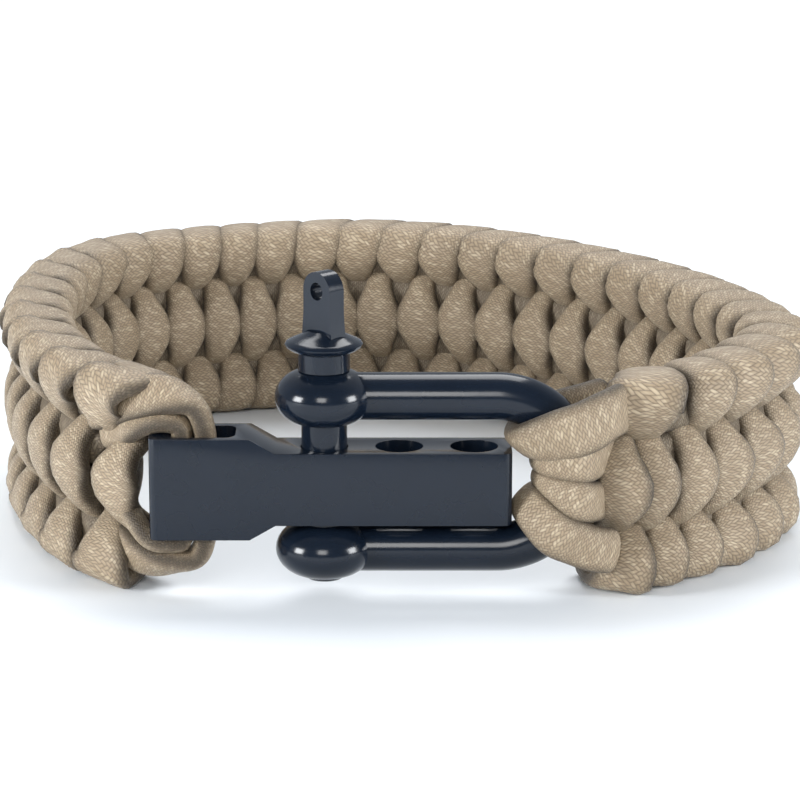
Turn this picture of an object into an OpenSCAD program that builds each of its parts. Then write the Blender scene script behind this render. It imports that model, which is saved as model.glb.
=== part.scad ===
// A woven cord bracelet, closed by a shackle bow, an adjuster bar and a screw pin.
// It lies on its side: the loop's axis is vertical and the closure faces -Y.

/* [Band] */
// Outer width of the loop, side to side
loop_w = 87.2; // [84:0.1:110]
// Depth of the loop, from the pin's axis to the outside of the back
loop_d = 82.7; // [70:0.1:110]
// Height of the band
band_h = 23; // [21:0.1:28]
// Thickness of the band over its lobes
band_t = 7.8; // [6.5:0.1:9]
// Depth of the grooves between lobes
groove = 1.1; // [0.4:0.1:1.4]
// Mean distance from one lobe to the next in a column
lobe_pitch = 5.9; // [5:0.1:7]
// Outward lean of the right side, over the band's height
lean = 1.6; // [0:0.1:3]

/* [Cord] */
// Thickness of a strand, pressed flat
strand_t = 2.2; // [1.8:0.1:2.2]
// Width of a strand, pressed flat
strand_w = 4.4; // [3.6:0.1:4.5]
// Width of the two middle strands on the bow
middle_w = 3; // [2:0.1:3]
// Gap between a strand and what it wraps
strand_gap = 0.12; // [0.05:0.01:0.2]
// Height of the outer core strands above and below the band's middle
outer_core_z = 8; // [7.4:0.1:8.2]
// Height of the inner core strands above and below the band's middle
inner_core_z = 2.6; // [2.4:0.1:3]

/* [Shackle bow] */
// Diameter of the bow's rod
rod_d = 4.8; // [4:0.1:5]
// Distance between the two arms
arm_spacing = 15.7; // [15.2:0.1:18]
// Length of an arm past the axis of the bar's last hole, up to the start of the bend
arm_l = 2.25; // [2:0.05:7]
// Diameter of an ear
ear_d = 9.9; // [9:0.1:11]
// Height of an ear
ear_h = 5.6; // [5:0.1:6]
// Diameter of the flat that an ear's round side springs from
ear_flat_d = 3; // [1:0.1:4.5]
// Height of the closure's middle above the band's middle
closure_rise = 1.6; // [1.4:0.1:3]

/* [Adjuster bar] */
// Length of the bar
bar_l = 36.2; // [36:0.1:38]
// Depth of the bar, front to back
bar_t = 6.6; // [6.4:0.1:8]
// Height of the bar's narrow stretch
bar_h = 7.4; // [6.5:0.1:8]
// Height of the bar's head
head_h = 10.4; // [9.5:0.1:11]
// Length of the head at its full height
head_l = 10; // [9:0.1:10.5]
// Length of the slope from the head to the narrow stretch
shoulder_l = 2.6; // [1.5:0.1:3]
// Distance between the pin holes
hole_pitch = 7.5; // [7:0.1:7.6]
// Number of pin holes
hole_count = 3; // [2:1:3]
// Radius of the bar's upright edges
bar_edge_r = 0.9; // [0.3:0.1:1.2]
// Thickness of the post that the cord loops round
post_l = 2; // [1.5:0.1:2.5]
// Length of the cord slot
slot_l = 6.6; // [5:0.1:6.8]
// Width of the cord slot
slot_w = 4.8; // [4.6:0.1:5]
// Height of the bar above the lower ear
bar_seat_gap = 0.35; // [0.1:0.05:0.4]

/* [Screw pin] */
// Diameter of the pin's shank
pin_d = 4.6; // [4:0.1:5]
// Clearance round the shank in its holes
pin_clearance = 0.1; // [0.05:0.01:0.2]
// Length of shank that shows under the lower ear
pin_tip_l = 0.3; // [0.1:0.1:1]
// Diameter of the neck under the collar
neck_d = 5.2; // [5:0.1:5.8]
// Height of the neck
neck_h = 1.8; // [0.5:0.1:2.5]
// Diameter of the collar
collar_d = 7.8; // [7:0.1:9]
// Height of the collar
collar_h = 2.2; // [1.8:0.1:3]
// Height of the grip tab above the collar
tab_h = 6; // [5:0.1:9]
// Width of the grip tab
tab_w = 3.9; // [3.4:0.1:5]
// Thickness of the grip tab
tab_t = 1.9; // [1.5:0.1:2.5]
// Diameter of the hole in the grip tab
tab_hole_d = 1.8; // [1:0.1:2.2]
// Turn of the grip tab about the pin
tab_turn = 47; // [0:1:90]

/* [Hidden] */

CORD = "#b3a183";
METAL = "#2b313b";
ROUND_FN = 64;
// A length that lets one cut run past the face it opens
past = 1;

// Columns of a point
X = 0;
Y = 1;
Z = 2;

// Closure, in a frame with the pin's axis at the Y and X origin and the floor at Z = 0
band_mid_z = band_h / 2;
closure_z = band_mid_z + closure_rise;
bend_r = arm_spacing / 2;
rod_r = rod_d / 2;
upper_ear_z = closure_z + bend_r;
lower_ear_z = closure_z - bend_r;
bar_z = lower_ear_z + ear_h / 2 + bar_seat_gap + bar_h / 2;
bar_right = (hole_count - 0.5) * hole_pitch;
bar_left = bar_right - bar_l;
bend_x = (hole_count - 1) * hole_pitch + arm_l;
post_x = bar_left + post_l / 2;
apex_x = bend_x + bend_r + rod_r;

// Where the band ends: beside the head on the left, behind the bow's bend on the right
left_end_gap = 2.6;
right_end_gap = 0.5;
left_end_x = bar_left - left_end_gap;
right_end_x = apex_x + right_end_gap;

// The band's middle line. The middle of the loop lies a little to the right of the pin.
loop_mid_x = 7.2;
side_x = (loop_w - band_t) / 2;
back_y = loop_d - band_t / 2;

// Rows of the front: share of the way from the band's end to the side, share of the depth, share of the lean
LEFT_ROWS = [
    [0, 0.058, 0], [0.24, 0.104, 0], [0.53, 0.188, 0], [0.835, 0.33, 0], [1, 0.508, 0]
];
RIGHT_ROWS = [
    [1, 0.32, 0.8], [0.747, 0.178, 1], [0.421, 0.08, 1], [0.192, 0.043, 0.9], [0, 0.037, 0.8]
];
// Rows of the back: share of half the width, share of the depth, share of the lean
BACK_ROWS = [
    [-0.974, 0.723, 0], [-0.848, 0.867, 0], [-0.62, 0.944, 0], [-0.268, 0.999, 0], [-0.016, 0.997, 0],
    [0.26, 0.939, 0], [0.562, 0.806, 0.1], [0.814, 0.635, 0.3], [0.966, 0.457, 0.6]
];

function mix(a, b, t) = a + (b - a) * t;

rail = concat(
    [for (r = LEFT_ROWS) [mix(left_end_x, loop_mid_x - side_x, r[0]), r[1] * back_y, r[2]]],
    [for (r = BACK_ROWS) [loop_mid_x + r[0] * side_x, r[1] * back_y, r[2]]],
    [for (r = RIGHT_ROWS) [mix(right_end_x, loop_mid_x + side_x, r[0]), r[1] * back_y, r[2]]]
);

// A smooth curve through points, at u from 0 to their number less one
function curve(points, u) = let(
    i = max(0, min(floor(u), len(points) - 2)),
    t = u - i,
    a = points[max(i - 1, 0)],
    b = points[i],
    c = points[i + 1],
    d = points[min(i + 2, len(points) - 1)]
) b + 0.5 * t * ((c - a) + t * ((2 * a - 5 * b + 4 * c - d) + t * (3 * b - a - 3 * c + d)));

// Steps in which the length of the rail is measured, between two rows
FINE = 12;
fine_steps = FINE * (len(rail) - 1);
rail_fine = [for (i = [0 : fine_steps]) curve(rail, i / FINE)];
function flat(p) = [p[X], p[Y]];
rail_lengths = [
    for (i = 0, s = 0; i <= fine_steps;
        s = s + (i < fine_steps ? norm(flat(rail_fine[i + 1]) - flat(rail_fine[i])) : 0), i = i + 1)
    [s, i / FINE]
];
rail_l = rail_lengths[fine_steps][0];
function rail_u(s) = lookup(s, rail_lengths);

// Heading and outward direction of the rail at a length along it
HEADING_STEP = 0.02;
function heading(s) = let(
    u = rail_u(s),
    d = flat(curve(rail, min(u + HEADING_STEP, len(rail) - 1)) - curve(rail, max(u - HEADING_STEP, 0)))
) d / norm(d);
function outward(s) = let(h = heading(s)) [-h[Y], h[X]];

// A point of the band: length along the rail, distance outwards and height from the middle
function band_point(s, n, z) = let(
    q = curve(rail, rail_u(s)),
    o = outward(s) * (n + q[2] * lean * z / band_h)
) [q[X] + o[X], q[Y] + o[Y], band_mid_z + z];

// Points round the band's section: share of half the thickness, share of half the height,
// the way the surface faces there in degrees, and where in a pitch the lobe's crown lies.
// The edge columns' crowns lie side by side, and the middle column's half a pitch on. Inside it is the other way.
SECTION = [
    [0, 1, 90, 0], [0.6, 0.93, 50, 0.15], [0.98, 0.72, 0, 0.25], [0.82, 0.44, 0, 0.25],
    [0.94, 0.24, 0, 0.75], [1, 0, 0, 0.75], [0.94, -0.24, 0, 0.75],
    [0.82, -0.44, 0, 0.25], [0.98, -0.72, 0, 0.25], [0.6, -0.93, -50, 0.35],
    [0, -1, -90, 0.5], [-0.6, -0.93, 230, 0.65], [-0.98, -0.72, 180, 0.75], [-0.82, -0.44, 180, 0.75],
    [-0.94, -0.24, 180, 0.25], [-1, 0, 180, 0.25], [-0.94, 0.24, 180, 0.25],
    [-0.82, 0.44, 180, 0.75], [-0.98, 0.72, 180, 0.75], [-0.6, 0.93, 130, 0.85]
];

// The weave starts and ends near the crown of a middle lobe
START_PHASE = 0.7;
END_PHASE = 0.75;
lobes = round(rail_l / lobe_pitch - END_PHASE + START_PHASE);
pitches = lobes + END_PHASE - START_PHASE;
RINGS_PER_PITCH = 4;
rings = ceil(pitches * RINGS_PER_PITCH);

// Distance from a crown, from -0.5 to 0.5 of a pitch
function from_crown(phase) = phase - floor(phase + 0.5);
// How much of the crown's height is left at a phase
function lobe(phase, crown) = 1 - 4 * pow(from_crown(phase - crown), 2);

// The weave is looser round the left side, and tight at its right end.
// Rows: share of the lobes from the left end, share of the rail's length
PACE = [
    [0, 0], [0.06, 0.07], [0.14, 0.168], [0.215, 0.257], [0.27, 0.32], [0.33, 0.373], [0.415, 0.442], [0.47, 0.496],
    [0.56, 0.584], [0.7, 0.73], [0.76, 0.788], [0.86, 0.878], [0.915, 0.935], [0.943, 0.962], [0.972, 0.985], [1, 1]
];

// The first wraps at the right end pass over the strands that come from the bow.
// Lengths of strand under the wraps: top edge, middle, lower edge
UNDER = [2.6, 1.2, 1.2];
// The outer face stands back there, over a length that leaves room at a strand's end
under_room = 1;
tuck_depth = strand_t + strand_gap;
function tuck_l(z_share) = under_room + (z_share > 0.4 ? UNDER[0] : z_share > -0.4 ? UNDER[1] : UNDER[2]);
function tuck(s, r) = r[0] > 0.5 && rail_l - s < tuck_l(r[1]) ? tuck_depth : 0;

// Each column of the mesh is moved along the band so that its rings meet its own crowns
function ring_shift(k, r) = let(
    q = r[3] * RINGS_PER_PITCH,
    ends = min(1, k, rings - k)
) ends * (q - round(q)) / rings;

function surface_point(k, r) = let(
    along = k / rings + ring_shift(k, r),
    s = rail_l * lookup(along, PACE),
    phase = START_PHASE + along * pitches,
    inwards = groove * (1 - lobe(phase, r[3])),
    n = r[0] * band_t / 2 - cos(r[2]) * inwards - tuck(s, r),
    z = r[1] * band_h / 2 - sin(r[2]) * (abs(r[1]) == 1 ? 0.6 * inwards : inwards)
) band_point(s, n, z);

// A closed skin over rings of points, with flat ends
module skin(rows) {
    n = len(rows[0]);
    last = len(rows) - 1;
    polyhedron(
        points = [for (row = rows) for (p = row) p],
        faces = concat(
            [[for (j = [0 : n - 1]) j]],
            [for (i = [0 : last - 1]) for (j = [0 : n - 1]) let(m = (j + 1) % n)
                each [[i * n + j, (i + 1) * n + j, i * n + m], [i * n + m, (i + 1) * n + j, (i + 1) * n + m]]],
            [[for (j = [n - 1 : -1 : 0]) last * n + j]]
        ),
        convexity = 12
    );
}

// The section runs the other way round here, so that the skin faces outwards
section_last = len(SECTION) - 1;
band_rows = [for (k = [0 : rings]) [for (j = [section_last : -1 : 0]) surface_point(k, SECTION[j])]];

// The whole object is moved so that the middle of its box's base is the origin
band_xs = [for (row = band_rows) for (p = row) p[X]];
band_ys = [for (row = band_rows) for (p = row) p[Y]];
band_zs = [for (row = band_rows) for (p = row) p[Z]];
front_y = -ear_d / 2;
place = [
    -(min(band_xs) + max(band_xs)) / 2,
    -(front_y + max(band_ys)) / 2,
    -min(band_zs)
];

module band() {
    color(CORD) translate(place) skin(band_rows);
}

// A flat strand along a path. Each row of the path is a point, and the way its width lies.
STRAND_SIDES = 10;
STRAND_STEPS = 3;
function unit(v) = v / norm(v);
function strand_ring(centre, ahead, across, w, t) = let(
    side = unit(across - ahead * (across * ahead)),
    up = cross(ahead, side)
) [for (j = [0 : STRAND_SIDES - 1]) let(a = 360 * (j + 0.5) / STRAND_SIDES)
    centre + side * (w / 2 * cos(a)) + up * (t / 2 * sin(a))];

// points and across have a row for each bend, and widths a share of the strand's width there
module strand(points, across, widths, w, t, first_ahead, last_ahead) {
    count = STRAND_STEPS * (len(points) - 1);
    skin([for (i = [0 : count]) let(
        u = i / STRAND_STEPS,
        eased = curve(points, min(u + HEADING_STEP, len(points) - 1)) - curve(points, max(u - HEADING_STEP, 0)),
        ahead = i == 0 ? first_ahead : i == count ? last_ahead : unit(eased)
    ) strand_ring(curve(points, u), ahead, curve(across, u), w * curve(widths, u), t)]);
}

function raise(v, z) = [v[X], v[Y], z];

// Gap between the band's flat ends and the strands that come out of them
end_gap = 3 * strand_gap;

// Routes of the two layers from the band's end to the post: shares of the way in X and Y at the first row, then at the
// post's edge and over the post how far beside it in thicknesses, and the share in Y
ROUTES = [[0.45, 0.55, 0.4, 0.14, 0, 0], [0.45, 0.7, 0.136, 0.36, 0.09, 0.1]];

// A loop round the post of the bar's head, through its slot. Layer 0 lies on the post, layer 1 on layer 0.
// The strands leave the band's end at upper_z and lower_z from its middle
module left_loop(layer, upper_z, lower_z, end_share) {
    out = strand_gap + strand_t / 2 + layer * (strand_t + strand_gap);
    corner = out * 0.72;
    post_left = post_x - post_l / 2;
    post_right = post_x + post_l / 2;
    head_top = bar_z + head_h / 2;
    start = band_point(0, 0, 0);
    leave = heading(0);
    route = ROUTES[layer];
    beside_x = mix(start[X], post_left, route[0]);
    edge_x = post_left - route[2] * strand_t;
    over_x = post_x + route[4] * strand_t;
    // The outer loop passes over the inner one, with room between them
    over = layer == 0 ? 0.35 : 1;
    edge_z = layer == 0 ? corner : out + end_gap;
    // Rows: X, share of the way from the bar's middle plane to the band's end, Z
    rows = [
        [beside_x, route[1], mix(upper_z + band_mid_z, head_top + out, over)],
        [edge_x, route[3], head_top + edge_z],
        [over_x, route[5], head_top + out],
        [post_right + corner, 0, head_top + corner],
        [post_right + out, 0, head_top - 0.4],
        [post_right + out, 0, bar_z],
        [post_right + out, 0, 2 * bar_z - head_top + 0.4],
        [post_right + corner, 0, 2 * bar_z - head_top - corner],
        [over_x, route[5], 2 * bar_z - head_top - out],
        [edge_x, route[3], 2 * bar_z - head_top - edge_z],
        [beside_x, route[1], mix(band_mid_z - lower_z, 2 * bar_z - head_top - out, 0.45)]
    ];
    touch = start - raise(leave, 0) * end_gap;
    path = concat(
        [raise(touch, band_mid_z + upper_z)],
        [for (r = rows) [r[X], r[Y] * start[Y], r[Z]]],
        [raise(touch, band_mid_z - lower_z)]
    );
    last = len(path) - 1;
    // The width lies along the post there, and turns upright towards the band, the other way round below
    end_lie = unit(raise(outward(0) * 0.3, 1));
    across = [for (i = [0 : last]) i == 0 ? end_lie : i == last ? [end_lie[X], end_lie[Y], -1]
        : i == 1 ? [0, 0.7, 0.7] : i == last - 1 ? [0, 0.7, -0.7] : [0, 1, 0]];
    widths = [for (i = [0 : last]) i == 0 || i == last ? end_share : 1];
    color(CORD) translate(place)
        strand(path, across, widths, strand_w, strand_t, raise(-leave, 0), raise(leave, 0));
}

// The loops' upper ends leave the band this much above the core strands
inner_rise = 0.4;
outer_rise = 1.2;

module left_loop_inner() {
    left_loop(0, inner_core_z + inner_rise, inner_core_z, 0.7);
}

module left_loop_outer() {
    left_loop(1, outer_core_z + outer_rise, outer_core_z, 0.9);
}

// A loop round the bow's bend: over its front, through the bow and back behind it.
// at is the place on the bend in degrees, up from the bow's axis, inner the share of the width inside the bend,
// and under how far the front end goes under the weave
module right_loop(at, end_z, w, t, inner, under) {
    out = rod_r + strand_gap + t / 2;
    radial = [cos(at), 0, sin(at)];
    along_rod = [-sin(at), 0, cos(at)];
    rod = [bend_x, 0, closure_z] + bend_r * radial;
    tuck_s = rail_l - under;
    front_end = band_point(tuck_s, (band_t - t) / 2, end_z);
    back_end = band_point(rail_l, -band_t / 5, end_z) + raise(heading(rail_l), 0) * end_gap;
    function round_rod(a) = rod - radial * (out * cos(a)) - [0, out * sin(a), 0];
    path = [
        front_end, mix(round_rod(90), front_end, 0.42) - [0, t * 0.42, 0], round_rod(90), round_rod(45),
        round_rod(0), round_rod(-45), round_rod(-90), mix(round_rod(-90), back_end, 0.5), back_end
    ];
    last = len(path) - 1;
    across = [for (i = [0 : last]) i == 0 || i == last ? [0, 0, 1] : i == 1 || i == last - 1
        ? unit(along_rod + [0, 0, 1]) : along_rod];
    widths = [for (i = [0 : last]) mix(1, inner, i == 4 ? 1 : i == 3 || i == 5 ? 0.7 : 0)];
    color(CORD) translate(place)
        strand(path, across, widths, w, t, raise(heading(tuck_s), 0), -raise(heading(rail_l), 0));
}

// Places of the loops on the bend
UPPER_AT = 50;
MIDDLE_UPPER_AT = 14;
MIDDLE_LOWER_AT = -7.5;
LOWER_AT = -43;
middle_t = strand_t * 0.8;
middle_inner = 0.48;
edge_inner = 0.85;
// The upper loop ends above its core strand, under the weave's upper edge
upper_rise = 0.6;

module right_loop_upper() {
    right_loop(UPPER_AT, outer_core_z + upper_rise, strand_w, strand_t, edge_inner, UNDER[0]);
}

module right_loop_mid_upper() {
    right_loop(MIDDLE_UPPER_AT, inner_core_z, middle_w, middle_t, middle_inner, UNDER[1]);
}

module right_loop_mid_lower() {
    right_loop(MIDDLE_LOWER_AT, -inner_core_z * 0.8, middle_w, middle_t, middle_inner, UNDER[1]);
}

module right_loop_lower() {
    right_loop(LOWER_AT, -outer_core_z * 0.88, strand_w, strand_t, edge_inner, UNDER[2]);
}

// A rectangle with round corners, from its lowest corner
module round_rectangle(size, r) {
    translate([r, 0]) square([size[X] - 2 * r, size[Y]]);
    translate([0, r]) square([size[X], size[Y] - 2 * r]);
    for (x = [r, size[X] - r]) for (y = [r, size[Y] - r])
        translate([x, y]) circle(r, $fn = ROUND_FN);
}

module adjuster_bar() {
    neck_x = bar_left + head_l;
    body_x = neck_x + shoulder_l;
    side = [
        [bar_left, head_h / 2], [neck_x, head_h / 2], [body_x, bar_h / 2], [bar_right, bar_h / 2]
    ];
    slot_end_r = slot_w / 4;
    color(METAL) translate(place) translate([0, 0, bar_z]) difference() {
        intersection() {
            rotate([90, 0, 0]) linear_extrude(bar_t + 2 * past, center = true)
                polygon(concat(side, [for (i = [3 : -1 : 0]) [side[i][X], -side[i][Y]]]));
            translate([bar_left, -bar_t / 2, -head_h / 2 - past])
                linear_extrude(head_h + 2 * past) round_rectangle([bar_l, bar_t], bar_edge_r);
        }
        for (i = [0 : hole_count - 1])
            translate([i * hole_pitch, 0, -head_h / 2 - past])
                cylinder(h = head_h + 2 * past, r = hole_r, $fn = ROUND_FN);
        translate([bar_left + post_l, -slot_w / 2, -head_h / 2 - past])
            linear_extrude(head_h + 2 * past) round_rectangle([slot_l, slot_w], slot_end_r);
    }
}

// Half of an ear's outline, from the axis: a flat, then a rounded side
EAR_STEPS = 8;
ear_outline = concat(
    [[0, -ear_h / 2]],
    [for (i = [-EAR_STEPS : EAR_STEPS]) let(a = 90 * i / EAR_STEPS)
        [ear_flat_d / 2 + (ear_d - ear_flat_d) / 2 * cos(a), ear_h / 2 * sin(a)]],
    [[0, ear_h / 2]]
);

module bow_rod() {
    for (z = [upper_ear_z, lower_ear_z])
        translate([0, 0, z]) rotate([0, 90, 0]) cylinder(h = bend_x, d = rod_d, $fn = ROUND_FN);
    translate([bend_x, 0, closure_z]) rotate([90, 0, 0]) rotate([0, 0, -90])
        rotate_extrude(angle = 180, $fn = ROUND_FN) translate([bend_r, 0]) circle(d = rod_d, $fn = ROUND_FN);
}

module shackle_bow() {
    color(METAL) translate(place) difference() {
        union() {
            bow_rod();
            for (z = [upper_ear_z, lower_ear_z])
                translate([0, 0, z]) rotate_extrude($fn = ROUND_FN) polygon(ear_outline);
        }
        translate([0, 0, lower_ear_z - ear_h / 2 - past])
            cylinder(h = arm_spacing + ear_h + 2 * past, r = hole_r, $fn = ROUND_FN);
    }
}

// The collar's outline: shares of its radius and of its height
COLLAR_ROWS = [[0.66, 0], [0.86, 0.14], [0.97, 0.28], [1, 0.4], [0.96, 0.5], [0.76, 0.66], [0.54, 0.84], [0.4, 1]];
seat_gap = 0.05;
hole_r = pin_d / 2 + pin_clearance;
// Height of an ear's round side over its middle, at the rim of its hole
ear_rim_z = ear_h / 2 * sin(acos((hole_r - ear_flat_d / 2) / (ear_d / 2 - ear_flat_d / 2)));
pin_foot = lower_ear_z - ear_h / 2 - pin_tip_l;
pin_seat = upper_ear_z + ear_rim_z + seat_gap;
collar_z = pin_seat + neck_h;
tab_z = collar_z + collar_h;
foot_bevel = pin_d * 0.11;

module pin_body() {
    rotate_extrude($fn = ROUND_FN) polygon(concat(
        [
            [0, pin_foot], [pin_d / 2 - foot_bevel, pin_foot], [pin_d / 2, pin_foot + foot_bevel],
            [pin_d / 2, pin_seat], [neck_d / 2, pin_seat], [neck_d / 2, collar_z]
        ],
        [for (r = COLLAR_ROWS) [r[0] * collar_d / 2, collar_z + r[1] * collar_h]],
        [[0, tab_z]]
    ));
}

// The tab widens a little at its foot, inside the top of the collar
module grip_tab() {
    eye_z = tab_h - tab_w / 2;
    foot_w = tab_w * 1.12;
    foot_h = tab_h * 0.3;
    sunk = collar_h * 0.3;
    difference() {
        rotate([90, 0, 0]) linear_extrude(tab_t, center = true) {
            translate([-tab_w / 2, -sunk]) square([tab_w, eye_z + sunk]);
            translate([0, eye_z]) circle(d = tab_w, $fn = ROUND_FN);
            polygon([[-foot_w / 2, -sunk], [foot_w / 2, -sunk], [tab_w / 2, foot_h], [-tab_w / 2, foot_h]]);
        }
        translate([0, 0, eye_z]) rotate([90, 0, 0])
            cylinder(h = tab_t + 2 * past, d = tab_hole_d, center = true, $fn = ROUND_FN);
    }
}

module shackle_pin() {
    color(METAL) translate(place) {
        pin_body();
        translate([0, 0, tab_z]) rotate([0, 0, -tab_turn]) grip_tab();
    }
}

band();
left_loop_inner();
left_loop_outer();
right_loop_upper();
right_loop_mid_upper();
right_loop_mid_lower();
right_loop_lower();
adjuster_bar();
shackle_bow();
shackle_pin();
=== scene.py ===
"""A woven cord bracelet with a shackle closure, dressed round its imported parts.

The band is one flat cord that weaves to and fro over four core strands. A Geometry Nodes tree works its centre line
out from the band's middle line, and sweeps the cord's section along it. The core strands and the loops that hold the
closure are strands of the same cord, swept along lines of points. Sizes are in millimetres unless a comment or
docstring says otherwise.
"""

import logging
import math
from collections.abc import Callable, Iterable, Mapping, Sequence
from dataclasses import dataclass, field, replace
from enum import Enum
from typing import Any

import bmesh
import bpy
from bpy.types import Material, Mesh, NodeSocket, NodeTree, Object
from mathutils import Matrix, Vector

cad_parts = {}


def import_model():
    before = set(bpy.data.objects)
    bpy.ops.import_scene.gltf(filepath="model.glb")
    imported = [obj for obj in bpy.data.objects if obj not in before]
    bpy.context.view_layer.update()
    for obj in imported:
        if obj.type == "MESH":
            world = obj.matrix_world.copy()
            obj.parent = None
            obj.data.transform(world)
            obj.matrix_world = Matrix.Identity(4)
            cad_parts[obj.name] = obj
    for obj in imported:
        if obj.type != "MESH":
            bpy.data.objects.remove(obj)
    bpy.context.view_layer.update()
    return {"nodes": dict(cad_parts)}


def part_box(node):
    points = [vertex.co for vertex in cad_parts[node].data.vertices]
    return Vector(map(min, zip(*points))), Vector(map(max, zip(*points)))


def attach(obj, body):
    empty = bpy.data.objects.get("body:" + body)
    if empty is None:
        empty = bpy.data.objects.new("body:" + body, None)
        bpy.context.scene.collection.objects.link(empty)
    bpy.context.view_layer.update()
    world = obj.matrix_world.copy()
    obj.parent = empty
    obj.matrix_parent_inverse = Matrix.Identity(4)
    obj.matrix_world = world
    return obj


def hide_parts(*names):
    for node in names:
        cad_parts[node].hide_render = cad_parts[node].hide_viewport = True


Triple = tuple[float, float, float]
Rows = tuple[tuple[float, ...], ...]
MM = 0.001
TAU = 2 * math.pi
UP = Vector((0, 0, 1))
LOG = logging.getLogger("bracelet")
# Points of a swept cord that are nearer than this are one, in metres
SEAM = 2e-6
# Share of the light that reaches the core strands, inside the weave, painted into their colour as shade
CORE_LIGHT = 0.45


class Body(Enum):
    """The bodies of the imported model."""

    BRACELET = "bracelet"
    PIN = "pin"


class Slot(Enum):
    """The record's material slots."""

    CORD = "cord"
    METAL = "black_metal"


# Node trees


def is_arrow(value: Any) -> bool:
    """Whether a value is a vector, or a wire that carries one."""
    return isinstance(value, Vector) or (isinstance(value, Wire) and value.socket.type == "VECTOR")


def operator(operation: str, swapped: bool = False) -> Callable[["Wire", Any], "Wire"]:
    """Makes an operator of wires.

    Args:
        operation: What the Math node does, or the Vector Math node where either side is a vector.
        swapped: Whether the wire stands on the right.

    Returns:
        The operator.
    """

    def method(self: "Wire", other: Any) -> "Wire":
        """Adds the node."""
        sides = (other, self) if swapped else (self, other)
        make = self.net.vector if any(is_arrow(side) for side in sides) else self.net.math
        return make(operation, *sides)

    return method


class Wire:
    """An output of a node, or its value, that can be used in Python expressions."""

    def __init__(self, net: "Net", socket: NodeSocket) -> None:
        """Keeps the tree and the socket."""
        self.net = net
        self.socket = socket

    __add__, __radd__ = operator("ADD"), operator("ADD", swapped=True)
    __sub__, __rsub__ = operator("SUBTRACT"), operator("SUBTRACT", swapped=True)
    __truediv__, __rtruediv__ = operator("DIVIDE"), operator("DIVIDE", swapped=True)
    __pow__ = operator("POWER")
    # The remainder goes from 0 up to the divisor, also for numbers under 0
    __mod__ = operator("FLOORED_MODULO")

    def __mul__(self, other: Any) -> "Wire":
        """Product. A vector times a number is scaled."""
        if is_arrow(self) != is_arrow(other):
            arrow, share = (self, other) if is_arrow(self) else (other, self)
            return self.net.add("ShaderNodeVectorMath", {"operation": "SCALE"}, {"Vector": arrow, "Scale": share}).out()
        return operator("MULTIPLY")(self, other)

    def __rmul__(self, other: Any) -> "Wire":
        """Product, from the right."""
        return self * other

    def __neg__(self) -> "Wire":
        """The same with the other sign."""
        return self * -1

    def __abs__(self) -> "Wire":
        """The number without its sign."""
        return self.net.math("ABSOLUTE", self)

    def floor(self) -> "Wire":
        """The whole number below."""
        return self.net.math("FLOOR", self)

    def root(self) -> "Wire":
        """The square root, or 0 for a number under 0."""
        return self.net.math("SQRT", self.at_least(0.0))

    def at_least(self, least: Any) -> "Wire":
        """The number, or a limit where it is lower."""
        return self.net.math("MAXIMUM", self, least)

    def at_most(self, most: Any) -> "Wire":
        """The number, or a limit where it is higher."""
        return self.net.math("MINIMUM", self, most)

    def parts(self) -> tuple["Wire", "Wire", "Wire"]:
        """The three numbers of a vector."""
        split = self.net.add("ShaderNodeSeparateXYZ", {}, {"Vector": self})
        return split.out("X"), split.out("Y"), split.out("Z")

    def unit(self) -> "Wire":
        """The vector with length 1."""
        return self.net.vector("NORMALIZE", self)

    def cross(self, other: "Wire") -> "Wire":
        """Cross product."""
        return self.net.vector("CROSS_PRODUCT", self, other)


class Node:
    """A node with its tree, whose outputs are taken as wires."""

    def __init__(self, net: "Net", node: bpy.types.Node) -> None:
        """Keeps the tree and the node."""
        self.net = net
        self.node = node

    def out(self, name: str | int = 0) -> Wire:
        """One output by its name or place."""
        return Wire(self.net, pick(self.node.outputs, name))


def pick(sockets: Iterable[NodeSocket], name: str | int) -> NodeSocket:
    """Finds a node's socket by its name, or by its place among those in use."""
    used = [s for s in sockets if s.enabled]
    return used[name] if isinstance(name, int) else next(s for s in used if s.name == name)


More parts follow.
